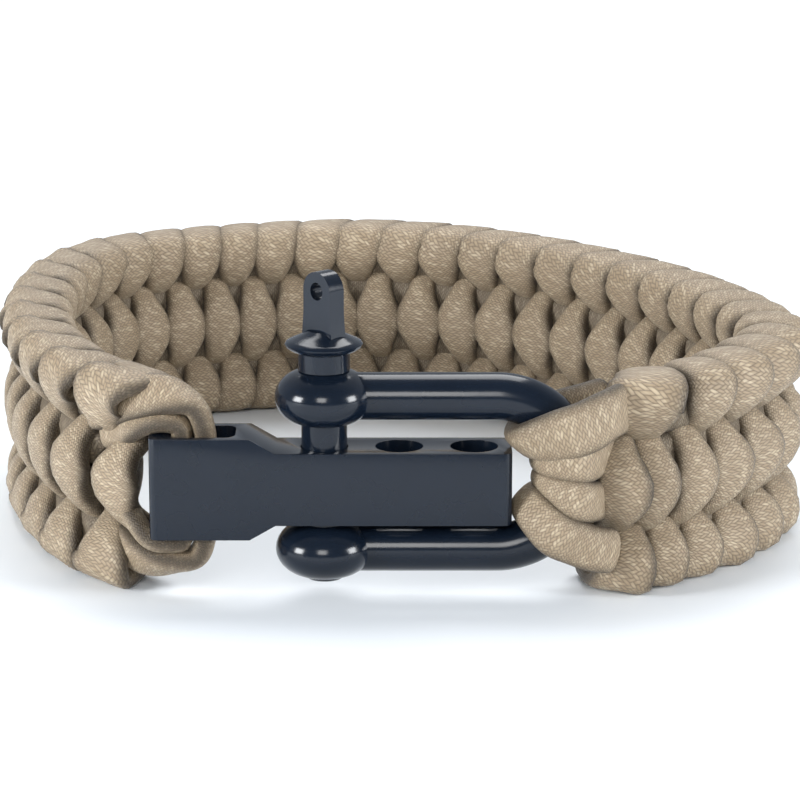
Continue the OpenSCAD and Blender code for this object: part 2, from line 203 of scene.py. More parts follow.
class Net:
    """A node tree that is being built."""

    def __init__(self, tree: NodeTree) -> None:
        """Keeps the tree."""
        self.tree = tree

    def add(self, kind: str, settings: Mapping[str, Any] | None = None,
            values: Mapping[str | int, Any] | None = None) -> Node:
        """Adds a node.

        Args:
            kind: The node's type.
            settings: Its settings, set first.
            values: What goes into its sockets, by name or place: numbers, vectors, materials or wires.

        Returns:
            The node.
        """
        node = self.tree.nodes.new(kind)
        for key, value in (settings or {}).items():
            setattr(node, key, value)
        self.feed(node, values or {})
        return Node(self, node)

    def feed(self, node: bpy.types.Node, values: Mapping[str | int, Any]) -> None:
        """Sets or links a node's inputs, by name or place."""
        for key, value in values.items():
            socket = pick(node.inputs, key)
            if isinstance(value, Wire):
                self.tree.links.new(value.socket, socket)
            else:
                socket.default_value = value

    def math(self, operation: str, *values: Any) -> Wire:
        """Adds a Math node on its inputs in order."""
        return self.add("ShaderNodeMath", {"operation": operation}, dict(enumerate(values))).out()

    def vector(self, operation: str, *values: Any) -> Wire:
        """Adds a Vector Math node on its inputs in order."""
        return self.add("ShaderNodeVectorMath", {"operation": operation}, dict(enumerate(values))).out()

    def sin(self, angle: Wire) -> Wire:
        """Sine of an angle in radians."""
        return self.math("SINE", angle)

    def cos(self, angle: Wire) -> Wire:
        """Cosine of an angle in radians."""
        return self.math("COSINE", angle)

    def mix(self, share: Wire | float, first: Any, second: Any, blend: str = "MIX") -> Wire:
        """Mixes two colours."""
        return self.add("ShaderNodeMix", {"data_type": "RGBA", "blend_type": blend},
                        {"Factor": share, "A": first, "B": second}).out()

    def combine(self, x: Any = 0.0, y: Any = 0.0, z: Any = 0.0) -> Wire:
        """A vector of three numbers."""
        return self.add("ShaderNodeCombineXYZ", {}, {"X": x, "Y": y, "Z": z}).out()

    def noise(self, place: Wire, scale: float, detail: float) -> Wire:
        """Soft noise from 0 to 1 at a place."""
        return self.add("ShaderNodeTexNoise", {}, {"Vector": place, "Scale": scale, "Detail": detail}).out("Fac")


class GeometryNet(Net):
    """A Geometry Nodes tree with named inputs, used as a modifier."""

    def __init__(self, name: str, sizes: Mapping[str, float | int]) -> None:
        """Makes the tree with a geometry input and an input for each size, in metres or as a plain number."""
        super().__init__(bpy.data.node_groups.new(name, "GeometryNodeTree"))
        face = self.tree.interface
        face.new_socket("Geometry", in_out="INPUT", socket_type="NodeSocketGeometry")
        for key, value in sizes.items():
            kind = "NodeSocketInt" if isinstance(value, int) else "NodeSocketFloat"
            face.new_socket(key, in_out="INPUT", socket_type=kind)
        face.new_socket("Geometry", in_out="OUTPUT", socket_type="NodeSocketGeometry")
        self.given = self.add("NodeGroupInput")
        self.sizes = dict(sizes)

    def size(self, name: str) -> Wire:
        """The wire of a named input."""
        return self.given.out(name)

    def attribute(self, name: str, kind: str = "FLOAT") -> Wire:
        """Reads a named attribute."""
        return self.add("GeometryNodeInputNamedAttribute", {"data_type": kind}, {"Name": name}).out("Attribute")

    def store(self, geometry: Wire, name: str, value: Wire, kind: str, domain: str = "POINT") -> Wire:
        """Stores a named attribute on the geometry."""
        return self.add("GeometryNodeStoreNamedAttribute", {"data_type": kind, "domain": domain},
                        {"Geometry": geometry, "Name": name, "Value": value}).out()

    def place(self, geometry: Wire, position: Wire) -> Wire:
        """Moves the geometry's points to a position."""
        return self.add("GeometryNodeSetPosition", {}, {"Geometry": geometry, "Position": position}).out()

    def end(self, geometry: Wire) -> None:
        """Joins the result to the tree's output."""
        self.add("NodeGroupOutput", {}, {"Geometry": geometry})

    def applied(self, source: Object, name: str) -> Object:
        """Runs the tree on an object as a modifier.

        Args:
            source: The object that the modifier is put on. It is removed at the end.
            name: The new object's name.

        Returns:
            A new object at the origin with the plain mesh that comes out.
        """
        modifier = source.modifiers.new(self.tree.name, "NODES")
        modifier.node_group = self.tree
        for item in self.tree.interface.items_tree:
            if item.in_out == "INPUT" and item.name in self.sizes:
                modifier[item.identifier] = self.sizes[item.name]
        mesh = baked(source)
        source.modifiers.remove(modifier)
        bpy.data.objects.remove(source)
        mesh.name = name
        return show(mesh, name)


# Meshes


def show(data: bpy.types.ID, name: str) -> Object:
    """Makes an object of a mesh, light or camera, at the origin of the scene."""
    piece = bpy.data.objects.new(name, data)
    bpy.context.scene.collection.objects.link(piece)
    return piece


def baked(piece: Object) -> Mesh:
    """Makes the plain mesh that comes out of a piece's modifiers."""
    bpy.context.view_layer.update()
    return bpy.data.meshes.new_from_object(piece.evaluated_get(bpy.context.evaluated_depsgraph_get()))


def smooth_by_angle(mesh: Mesh, degrees: float) -> None:
    """Shades a mesh smooth, with sharp edges where its faces meet at more than an angle."""
    shape = bmesh.new()
    shape.from_mesh(mesh)
    for face in shape.faces:
        face.smooth = True
    for edge in shape.edges:
        edge.smooth = not (edge.is_manifold and edge.calc_face_angle(0) > math.radians(degrees))
    shape.to_mesh(mesh)
    shape.free()


def line_object(name: str, points: Sequence[Vector], values: Mapping[str, Sequence[float | Vector]]) -> Object:
    """Makes a row of points joined by edges, for a tree to read as a curve.

    Args:
        name: The object's name.
        points: The points in metres.
        values: Attributes, each with a number or a vector for each point.

    Returns:
        The object.
    """
    mesh = bpy.data.meshes.new(name)
    mesh.from_pydata([tuple(p) for p in points], [(i, i + 1) for i in range(len(points) - 1)], [])
    for key, row in values.items():
        if isinstance(row[0], Vector):
            flat = [x for arrow in row for x in arrow]
            mesh.attributes.new(key, "FLOAT_VECTOR", "POINT").data.foreach_set("vector", flat)
        else:
            mesh.attributes.new(key, "FLOAT", "POINT").data.foreach_set("value", row)
    return show(mesh, name)


def spline(rows: Sequence[Sequence[float]], u: float) -> list[float]:
    """A smooth curve through rows of numbers.

    Args:
        rows: The rows that it goes through.
        u: The place, from 0 to the number of rows less one.

    Returns:
        The row of numbers there.
    """
    i = max(0, min(int(u), len(rows) - 2))
    t = u - i
    a, b, c, d = rows[max(i - 1, 0)], rows[i], rows[i + 1], rows[min(i + 2, len(rows) - 1)]
    return [
        q + 0.5 * t * ((r - p) + t * ((2 * p - 5 * q + 4 * r - s) + t * (3 * q - p - 3 * r + s)))
        for p, q, r, s in zip(a, b, c, d)
    ]


# Finishes


def new_material(name: str) -> tuple[Material, Net, bpy.types.Node]:
    """Makes a material, and gives it with its tree and its shader."""
    material = bpy.data.materials.new(name)
    material.use_nodes = True
    return material, Net(material.node_tree), material.node_tree.nodes["Principled BSDF"]


@dataclass(frozen=True)
class CordFinish:
    """The sheath of nylon cord: a fine braid of yarns, two over and two under. The UV map is in millimetres. Its colour
    holds painted shade and painted highlights.
    """

    # Height of the UV map, which goes once round the cord
    around: float
    # Colour in the valleys between the yarns, a painted shade, and the yarns' colour on their tops
    valley: Triple = (0.170, 0.124, 0.080)
    yarn: Triple = (0.405, 0.310, 0.200)
    # Painted highlights: glints of shine on the tops of random yarns, their colour, how much of it shows at most, and
    # how rare they are
    glint: Triple = (0.680, 0.565, 0.400)
    glint_share: float = 0.75
    glint_power: float = 3.0
    yarn_w: float = 0.22
    braid_angle: float = 36.0
    # Height of the yarns, how much of it is added by chance, and how strongly it shows
    relief: float = 0.07
    relief_chance: float = 0.2
    relief_strength: float = 0.9
    roughness: float = 0.55
    sheen: float = 0.05
    sheen_roughness: float = 0.4
    # Darker and lighter patches: what they multiply the colour by, and how fine they are
    dark_patch: Triple = (0.86, 0.85, 0.84)
    light_patch: Triple = (1.10, 1.10, 1.11)
    patch_scale: float = 90.0
    patch_detail: float = 3.0
    # Painted shade: the share of the light that reaches the cord, kept as a share of its colour, and how much of it is
    # left at the edges of its width, where it lies against others, with the tint of that painted shade and how narrow
    # the edges are
    light: float = 0.86
    edge_light: float = 0.2
    edge_tint: Triple = (1.0, 0.94, 0.86)
    edge_power: float = 4.0

    def make(self, name: str) -> Material:
        """Builds the material.

        Args:
            name: The material's name.

        Returns:
            The material.
        """
        material, net, shader = new_material(name)
        along, round_it, _ = net.add("ShaderNodeUVMap", {"uv_map": "UVMap"}).out().parts()
        turn = math.radians(self.braid_angle)
        lengthwise = along * (math.cos(turn) / self.yarn_w)
        crosswise = round_it * (math.sin(turn) / self.yarn_w)
        a, b = lengthwise + crosswise, lengthwise - crosswise
        i, j = a.floor(), b.floor()
        # The braid repeats after four yarns, and a yarn lies on top of two of them
        on_top = net.math("LESS_THAN", (i + j) % 4.0, 2.0)
        rise_a = self._dome(a - i) * self._dome(((i + b) % 4.0) * 0.5)
        rise_b = self._dome(b - j) * self._dome(((a + j) % 4.0) * 0.5 - 1.0)
        height = rise_b + on_top * (rise_a - rise_b)
        run = net.combine(i, ((i + j) * 0.5).floor(), on_top)
        chance = net.add("ShaderNodeTexWhiteNoise", {"noise_dimensions": "3D"}, {"Vector": run}).out("Value")
        patches = net.noise(net.add("ShaderNodeTexCoord").out("Object"), self.patch_scale, self.patch_detail)
        # Painted shade: the colour darkens from the yarns' tops down into the valleys between them
        body = net.mix(height, (*self.valley, 1), (*self.yarn, 1))
        # Painted highlights: some yarns, picked at random, are lighter on their tops
        glinted = net.mix(chance ** self.glint_power * height * self.glint_share, body, (*self.glint, 1))
        tint = net.mix(patches, (*self.dark_patch, 1), (*self.light_patch, 1))
        # Painted shade: darker at the edges of the cord's width, where it lies against others, and the whole colour
        # scaled by the share of light
        edge = abs(net.cos(round_it * (TAU / self.around))) ** self.edge_power
        low = self.light * self.edge_light
        reach = net.mix(edge, (self.light, self.light, self.light, 1), (*(low * share for share in self.edge_tint), 1))
        colour = net.mix(1.0, net.mix(1.0, glinted, tint, "MULTIPLY"), reach, "MULTIPLY")
        bump = net.add("ShaderNodeBump", {}, {"Strength": self.relief_strength, "Distance": self.relief * MM,
                                              "Height": height + chance * self.relief_chance})
        net.feed(shader, {"Base Color": colour, "Normal": bump.out(), "Roughness": self.roughness,
                          "Sheen Weight": self.sheen, "Sheen Roughness": self.sheen_roughness})
        return material

    @staticmethod
    def _dome(share: Wire) -> Wire:
        """A smooth rise from 0 at both edges of a share to 1 at its middle."""
        return (share * (1.0 - share) * 4.0).root()


@dataclass(frozen=True)
class MetalFinish:
    """Black coat on steel, between satin and gloss."""

    colour: Triple = (0.005, 0.009, 0.017)
    # Least and most of the colour in its patches
    tones: tuple[float, float] = (0.85, 1.2)
    # Middle of the roughness, and how far it varies in all
    roughness: float = 0.17
    roughness_range: float = 0.08
    ior: float = 1.42
    patch_scale: float = 260.0
    grain_scale: float = 2600.0
    detail: float = 2.0
    # Height of the grain, and how strongly it shows
    relief: float = 0.02
    relief_strength: float = 0.12

    def make(self) -> Material:
        """Builds the material.

        Returns:
            The material.
        """
        material, net, shader = new_material("black_coat")
        place = net.add("ShaderNodeTexCoord").out("Object")
        patches = net.noise(place, self.patch_scale, self.detail)
        dark, light = ((*(c * tone for c in self.colour), 1) for tone in self.tones)
        bump = net.add("ShaderNodeBump", {}, {"Strength": self.relief_strength, "Distance": self.relief * MM,
                                              "Height": net.noise(place, self.grain_scale, self.detail)})
        net.feed(shader, {
            "Base Color": net.mix(patches, dark, light), "Normal": bump.out(), "IOR": self.ior,
            "Roughness": patches * self.roughness_range + (self.roughness - self.roughness_range / 2)})
        return material


@dataclass(frozen=True)
class FloorFinish:
    """The pale surface that the bracelet stands on."""

    colour: Triple = (0.86, 0.90, 0.94)
    roughness: float = 0.75

    def make(self) -> Material:
        """Builds the material.

        Returns:
            The material.
        """
        material, net, shader = new_material("pale_floor")
        net.feed(shader, {"Base Color": (*self.colour, 1), "Roughness": self.roughness})
        return material


# The cord


@dataclass(frozen=True)
class Cord:
    """The cord that everything woven is made of."""

    wide: float = 4.4
    thick: float = 2.2
    squareness: float = 0.78
    # Length over which an end is rounded, and the length once round the section
    round_end: float = 1.3
    around: float = 10.6

    def inputs(self, rings: int, sides: int) -> dict[str, float | int]:
        """The inputs of a tree that sweeps the section: its rings, the points of each, and the section's sizes."""
        return {"Rings": rings, "Sides": sides, "Squareness": self.squareness,
                "Round end": self.round_end * MM, "Around": self.around}

    def sweep_tree(self, name: str, rings: int, sides: int, material: Material) -> GeometryNet:
        """Builds the tree that sweeps the cord's section along a line of points.

        The line has a vector attribute "side", the way the section's width lies, and "wide" and "thick" in metres.

        Args:
            name: The tree's name.
            rings: How many rings the swept mesh has.
            sides: How many points each ring has.
            material: What the mesh is covered with.

        Returns:
            The tree.
        """
        net = GeometryNet(name, self.inputs(rings, sides))
        curve = net.add("GeometryNodeMeshToCurve", {}, {"Mesh": net.size("Geometry")}).out()
        self.finish_sweep(net, curve, material)
        return net

    @staticmethod
    def finish_sweep(net: GeometryNet, curve: Wire, material: Material) -> None:
        """Adds the nodes that sweep the section along a curve, and ends the tree.

        Args:
            net: The tree, with the inputs that the cord gives.
            curve: The centre line, with its attributes.
            material: What the mesh is covered with.
        """
        length = net.add("GeometryNodeCurveLength", {}, {"Curve": curve}).out()
        grid = net.add("GeometryNodeMeshGrid", {}, {"Size X": 1.0, "Size Y": 1.0, "Vertices X": net.size("Rings"),
                                                    "Vertices Y": net.size("Sides") + 1})
        grid_x, grid_y, _ = net.add("GeometryNodeInputPosition").out().parts()
        # Share of the way along the cord, and round it
        u, v = grid_x + 0.5, grid_y + 0.5

        def sample(name: str, kind: str) -> Node:
            """Reads the curve and one of its attributes at u."""
            return net.add("GeometryNodeSampleCurve", {"data_type": kind, "mode": "FACTOR"},
                           {"Curves": curve, "Value": net.attribute(name, kind), "Factor": u})

        across = sample("side", "FLOAT_VECTOR")
        ahead = across.out("Tangent")
        rise = ahead.cross(across.out("Value")).unit()
        side = rise.cross(ahead).unit()
        angle = v * TAU
        cos, sin = net.cos(angle), net.sin(angle)

        def squared(value: Wire) -> Wire:
            """Pushes a point of the circle out towards a square."""
            return net.math("SIGN", value) * abs(value) ** net.size("Squareness")

        from_end = u.at_most(1.0 - u) * length / net.size("Round end")
        short = 1.0 - from_end.at_most(1.0)
        full = (1.0 - short * short).root()
        wide = sample("wide", "FLOAT").out("Value") * 0.5 * full * squared(cos)
        thick = sample("thick", "FLOAT").out("Value") * 0.5 * full * squared(sin)
        unrolled = net.combine(u * length * (1 / MM), v * net.size("Around"))
        marked = net.store(grid.out("Mesh"), "UVMap", unrolled, "FLOAT2", "CORNER")
        x, y, z = (across.out("Position") + side * wide + rise * thick).parts()
        # Where the cord rests on the floor it is pressed flat
        swept = net.place(marked, net.combine(x, y, z.at_least(0.0)))
        for kind, values in (("FlipFaces", {}), ("MergeByDistance", {"Distance": SEAM}), ("SetShadeSmooth", {}),
                             ("RealizeInstances", {}), ("SetMaterial", {"Material": material})):
            swept = net.add("GeometryNode" + kind, {}, {0: swept, **values}).out()
        net.end(swept)


@dataclass(frozen=True)
class Rail:
    """The band's middle line, from its left end round the back to its right end. The pin's axis is at X = Y = 0."""

    origin: Vector
    loop_w: float = 87.2
    loop_d: float = 82.7
    band_h: float = 23.0
    band_t: float = 7.8
    lean: float = 1.6
    left_end: float = -20.05
    right_end: float = 28.0
    middle_x: float = 7.2
    # Rows of the front: share of the way from the band's end to the side, share of the depth, share of the lean
    left_rows: tuple[Triple, ...] = (
        (0, 0.058, 0), (0.24, 0.104, 0), (0.53, 0.188, 0), (0.835, 0.33, 0), (1, 0.508, 0))
    right_rows: tuple[Triple, ...] = (
        (1, 0.32, 0.8), (0.747, 0.178, 1), (0.421, 0.08, 1), (0.192, 0.043, 0.9), (0, 0.037, 0.8))
    # Rows of the back: share of half the width, share of the depth, share of the lean
    back_rows: tuple[Triple, ...] = (
        (-0.974, 0.723, 0), (-0.848, 0.867, 0), (-0.62, 0.944, 0), (-0.268, 0.999, 0), (-0.016, 0.997, 0),
        (0.26, 0.939, 0), (0.562, 0.806, 0.1), (0.814, 0.635, 0.3), (0.966, 0.457, 0.6))

    @property
    def mid_z(self) -> float:
        """Height of the band's middle over the floor."""
        return self.band_h / 2

    def rows(self) -> list[Triple]:
        """The rows as points: X, Y and the share of the lean."""
        side, back = (self.loop_w - self.band_t) / 2, self.loop_d - self.band_t / 2
        left, right = self.middle_x - side, self.middle_x + side
        return [
            *((self.left_end + (left - self.left_end) * x, y * back, share) for x, y, share in self.left_rows),
            *((self.middle_x + x * side, y * back, share) for x, y, share in self.back_rows),
            *((self.right_end + (right - self.right_end) * x, y * back, share) for x, y, share in self.right_rows),
        ]

    def line(self, steps: int = 14) -> list[list[float]]:
        """Fine points of the rail: X, Y and the share of the lean."""
        rows = self.rows()
        return [spline(rows, i / steps) for i in range(steps * (len(rows) - 1) + 1)]

    def length(self) -> float:
        """The rail's length."""
        line = self.line()
        return sum(math.hypot(b[0] - a[0], b[1] - a[1]) for a, b in zip(line, line[1:]))

    def at(self, s: float) -> tuple[Vector, Vector, float]:
        """Finds a place on the rail.

        Args:
            s: The length along the rail from its left end.

        Returns:
            The point at height 0, the heading there, and the share of the lean.
        """
        line = self.line()
        for a, b in zip(line, line[1:]):
            step = math.hypot(b[0] - a[0], b[1] - a[1])
            if s <= step or b is line[-1]:
                break
            s -= step
        share = s / step
        point = [p + (q - p) * share for p, q in zip(a, b)]
        return Vector((point[0], point[1], 0)), Vector((b[0] - a[0], b[1] - a[1], 0)).normalized(), point[2]

    def band_point(self, s: float, n: float, z: float) -> Vector:
        """A point of the band: length along the rail, distance outwards and height from its middle."""
        point, ahead, share = self.at(s)
        out = UP.cross(ahead) * (n + share * self.lean * z / self.band_h)
        return point + out + UP * (self.mid_z + z)

    def placed(self, point: Vector) -> Vector:
        """A point in the scene's frame, in metres."""
        return (point + self.origin) * MM


@dataclass(frozen=True)
class Pace:
    """How the lobes follow each other along the rail: looser round the left side, and tight at the right end."""

    rail: Rail
    # Lobes counted from the left end, and the length along the rail that a middle crown has there
    rows: tuple[tuple[float, float], ...] = (
        (0.75, -1.4), (1.75, 6.6), (2.75, 13.9), (5.25, 32.0), (8.25, 52.9), (10.25, 66.1), (12.25, 76.6),
        (15.25, 90.9), (17.25, 102.4), (20.25, 119.5), (25.25, 149.9), (27.25, 161.3), (30.75, 180.0), (32.75, 192.3),
        (33.75, 197.3), (34.75, 200.9), (35.75, 205.6))
    # Lobes over which the changes of pace are smoothed
    smoothing: tuple[float, ...] = (-0.6, -0.3, 0.0, 0.3, 0.6)
    # From which lobe and over how many the lobes come to lie one over the next, and how steeply they do in degrees
    tilt_from: float = 26.0
    tilt_over: float = 5.0
    tilt: float = 20.0
    # Points for each lobe, and how many lobes the row goes on past its ends
    steps: int = 8
    spare: float = 2.0

    @property
    def start(self) -> float:
        """The count of lobes where the row of points starts."""
        return self.rows[0][0] - self.spare

    def at(self, lobe: float) -> float:
        """The length along the rail at a count of lobes, with the changes of pace smoothed."""

        def straight(x: float) -> float:
            """The length along the rail by straight lines through the rows."""
            i = max(1, min(len(self.rows) - 1, sum(row[0] < x for row in self.rows)))
            (a, s), (b, r) = self.rows[i - 1], self.rows[i]
            return s + (r - s) * (x - a) / (b - a)

        return sum(straight(lobe + d) for d in self.smoothing) / len(self.smoothing)

    def piece(self) -> Object:
        """The rail as a straight row of points on which a length of 1 is one lobe.

        Returns:
            The row. Its attributes are the place on the rail, the heading, the lean, the pitch and the tilt there.
        """
        first, last = self.start, self.rows[-1][0] + self.spare
        lobes = [first + i / self.steps for i in range(int((last - first) * self.steps) + 1)]
        spots = [self.rail.at(self.at(lobe)) for lobe in lobes]
        steep = math.tan(math.radians(self.tilt))
        return line_object(
            "pace", [Vector((lobe - first, 0, 0)) for lobe in lobes],
            {"lean": [share * self.rail.lean / self.rail.band_h for _, _, share in spots],
             "pitch": [(self.at(lobe + 0.5) - self.at(lobe - 0.5)) * MM for lobe in lobes],
             "tilt": [steep * max(0.0, min(1.0, (lobe - self.tilt_from) / self.tilt_over)) for lobe in lobes],
             "spot": [self.rail.placed(point) for point, _, _ in spots], "heading": [ahead for _, ahead, _ in spots]})


@dataclass
class Band:
    """The woven band: a cord that goes down over four core strands and up again, three lobes on the way."""

    rail: Rail
    cord: Cord
    sheath: Material
    # The core strands' material: the sheath's, with painted shade
    shaded: Material
    half_h: float = 10.35
    depth: float = 2.8
    # Width of a crown as a share of the pitch, its least and most, and how much wider it is outside, as a share
    crown_share: float = 1.16
    crown_least: float = 4.9
    crown_most: float = 7.4
    crown_swell: float = 0.05
    # Where the cord crosses between two lobes: its width, and how much thicker it is as a share
    crossing_w: float = 3.3
    crossing_swell: float = 0.15
    # The cord steps ahead over the rims and hardly between them: waves of one and two periods a half turn, in lobes
    step_waves: tuple[float, float] = (0.1443, 0.0481)
    # Third waves that flatten the crowns and draw the turns at the rims out, as shares
    crown_flat: float = 0.08
    rim_reach: float = 0.03
    # Slow changes of the place in lobes, of the depth and of the width as shares: start in the noise, rate and size
    place_change: Triple = (0.0, 1.1, 0.09)
    depth_change: Triple = (40.0, 1.3, 0.12)
    width_change: Triple = (80.0, 1.0, 0.07)
    # How many lobes the first wraps hang back inside the band, which leaves its left end open, and from which half
    # turn and over how many this fades
    end_hang: float = 0.5
    hang_from: float = 1.5
    hang_over: float = 3.0
    # How many lobes nearer to the closure a wrap's edges stand than its middle, at the band's ends
    edge_lead: float = 0.27
    # The last wrap over the top edge: its half turn, how far from it this reaches, how many lobes it leads, and how
    # much wider it spreads
    last_top: float = 68.2
    last_reach: float = 0.45
    last_lead: float = 0.65
    last_spread: float = 2.9
    # Core strands: height from the band's middle, and how tall each is pressed
    cores: tuple[tuple[float, float], ...] = ((7.0, 4.7), (2.4, 4.8), (-2.4, 4.8), (-7.0, 4.7))
    core_t: float = 3.3
    # How far the core strands stop inside the band's left and right end, and their steps, rings and sides
    core_ends: tuple[float, float] = (3.5, 1.2)
    core_steps: int = 90
    core_rings: int = 160
    core_sides: int = 14
    seed: float = 3.7
    # The stretches of the working cord, as weave takes them
    runs: tuple[tuple[str, float, float, float, float], ...] = (
        ("band_weave", 1.08, 69.9, 0.0, 0.0), ("band_last_wrap", 70.35, 71.8, 0.5, 1.0))
    points_per_turn: int = 26
    rings_per_turn: int = 44
    least_rings: int = 24
    sides: int = 18

    def weave(self, name: str, first: float, last: float, lag: float, stand: float) -> Object:
        """Builds a stretch of the working cord.

        Args:
            name: The piece's name.
            first: The half turn that it starts at.
            last: The half turn that it ends at.
            lag: How many lobes its end hangs back. The lag grows from nothing at its start.
            stand: How much further than the rest of the weave it stands out, and how much wider it is.

        Returns:
            The piece.
        """
        pace = Pace(self.rail)
        turns = last - first
        net = GeometryNet(name + "_tree", {
            "Half height": self.half_h * MM, "Depth": (self.depth + stand) * MM, "Crown share": self.crown_share,
            "Least": (self.crown_least + stand) * MM, "Most": self.crown_most * MM, "Hang": self.end_hang,
            "Edge lead": self.edge_lead, "Spread": self.last_spread * MM, "Start": pace.start,
            "Middle": (self.rail.mid_z + self.rail.origin.z) * MM, "First": first, "Last": last, "Lag": lag,
            "Crossing": self.crossing_w * MM, "Thick": self.cord.thick * MM, "Seed": self.seed,
            "Points": int(turns * self.points_per_turn),
            **self.cord.inputs(max(self.least_rings, int(turns * self.rings_per_turn)), self.sides)})
        rail = net.add("GeometryNodeMeshToCurve", {}, {"Mesh": net.size("Geometry")}).out()
        dots = net.add("GeometryNodeMeshLine", {}, {"Count": net.size("Points")}).out()
        done = net.add("GeometryNodeInputIndex").out() / (net.size("Points") - 1)
        t = net.size("First") + done * (net.size("Last") - net.size("First"))
        one, two = self.step_waves
        phase = t * 0.5 + net.sin(t * TAU) * one + net.sin(t * (2 * TAU)) * two

        def change(start: float, rate: float, size: float) -> Wire:
            """A slow change along the cord, up to half its size either way."""
            noise = net.add("ShaderNodeTexNoise", {"noise_dimensions": "1D"},
                            {"W": t * rate + net.size("Seed") + start, "Scale": 1.0, "Detail": 1.0})
            return (noise.out("Fac") - 0.5) * size

        turn, third = t * math.pi, t * (3 * math.pi)
        rise = (net.sin(third) + net.sin(third * 3.0) * self.crown_flat) / (1 - self.crown_flat)
        inside = (-rise).at_least(0.0) * (1.0 - (t - self.hang_from) / self.hang_over).at_least(0.0)
        lead = abs(net.cos(turn)) * (t / (self.runs[-1][2] / 2) - 1.0) * net.size("Edge lead")
        last_top = (1.0 - ((t - self.last_top) / self.last_reach) ** 2.0).at_least(0.0)
        lobe = (phase - net.size("Start") - done * net.size("Lag") + inside * net.size("Hang") + lead
                + last_top * self.last_lead + change(*self.place_change))

        def sample(name: str, kind: str = "FLOAT") -> Wire:
            """Reads one of the rail's attributes at the lobe."""
            return net.add("GeometryNodeSampleCurve", {"data_type": kind, "mode": "LENGTH"},
                           {"Curves": rail, "Value": net.attribute(name, kind), "Length": lobe}).out("Value")

        heading = sample("heading", "FLOAT_VECTOR").unit()
        upright = net.combine(z=1.0)
        outward = upright.cross(heading).unit()
        z = (net.cos(turn) + net.cos(third) * self.rim_reach) * net.size("Half height") / (1 + self.rim_reach)
        n = rise * net.size("Depth") * (1.0 + change(*self.depth_change))
        # 1 where the cord crosses between two lobes, 0 on their crowns
        crossing = net.cos(third) ** 2.0 * net.sin(turn) ** 2.0 * (4 / 3)
        crown = (sample("pitch") * net.size("Crown share")).at_least(net.size("Least")).at_most(net.size("Most"))
        wide = crown * (1.0 + change(*self.width_change) + rise * self.crown_swell) + last_top * net.size("Spread")
        centre = (sample("spot", "FLOAT_VECTOR") + outward * (n + sample("lean") * z)
                  + upright * (z + net.size("Middle")))
        side = heading - outward * sample("tilt")
        # What the sweep reads is stored before the points are moved
        for key, value in (("side", side), ("wide", wide - (wide - net.size("Crossing")) * crossing),
                           ("thick", net.size("Thick") * (1.0 + crossing * self.crossing_swell)), ("centre", centre)):
            dots = net.store(dots, key, value, "FLOAT_VECTOR" if is_arrow(value) else "FLOAT")
        placed = net.place(dots, net.attribute("centre", "FLOAT_VECTOR"))
        line = net.add("GeometryNodeMeshToCurve", {}, {"Mesh": placed}).out()
        self.cord.finish_sweep(net, line, self.sheath)
        return net.applied(pace.piece(), name)

    def core(self, name: str, z: float, tall: float) -> Object:
        """Builds a core strand inside the band, at a height from its middle and pressed to a height of its own."""
        start, length = self.core_ends[0], self.rail.length() - sum(self.core_ends)
        points = [self.rail.placed(self.rail.band_point(start + length * i / self.core_steps, 0, z))
                  for i in range(self.core_steps + 1)]
        count = len(points)
        line = line_object(name + "_line", points, {
            "wide": [tall * MM] * count, "thick": [self.core_t * MM] * count, "side": [UP] * count})
        tree = self.cord.sweep_tree(name + "_tree", self.core_rings, self.core_sides, self.shaded)
        return tree.applied(line, name)

    def build(self) -> None:
        """Builds the working cord and the core strands, and dresses them."""
        for name, first, last, lag, stand in self.runs:
            dress(self.weave(name, first, last, lag, stand), Body.BRACELET, Slot.CORD, *(() if lag else ("band",)))
        for number, (z, tall) in enumerate(self.cores, 1):
            dress(self.core(f"band_core_{number}", z, tall), Body.BRACELET, Slot.CORD)


def dress(piece: Object, body: Body, slot: Slot, *nodes: str) -> None:
    """Puts a finished piece on its body.

    Args:
        piece: The piece, at the origin, with its material.
        body: The body that it rides on.
        slot: The record's slot for the piece's finish. It is not used.
        nodes: The CAD nodes that it stands for.
    """
    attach(piece, body.value)
    if nodes:
        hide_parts(*nodes)
    piece.data.calc_loop_triangles()
    LOG.info("%s: %d triangles, on %s", piece.name, len(piece.data.loop_triangles), body.value)


@dataclass(frozen=True)
class Closure:
    """Sizes of the metal closure, from the pin's axis at X = Y = 0 and the floor at Z = 0."""

    rod_d: float = 4.8
    arm_spacing: float = 15.7
    bend_x: float = 17.25
    middle_z: float = 13.1
    bar_l: float = 36.2
    head_h: float = 10.4
    bar_right: float = 18.75
    bar_z: float = 12.1
    post_l: float = 2.0
    pin_foot: float = 2.15

    @property
    def bend_r(self) -> float:
        """Radius of the bow's bend, to the rod's middle."""
        return self.arm_spacing / 2

    @property
    def post_x(self) -> float:
        """Middle of the post in the bar's head."""
        return self.bar_right - self.bar_l + self.post_l / 2


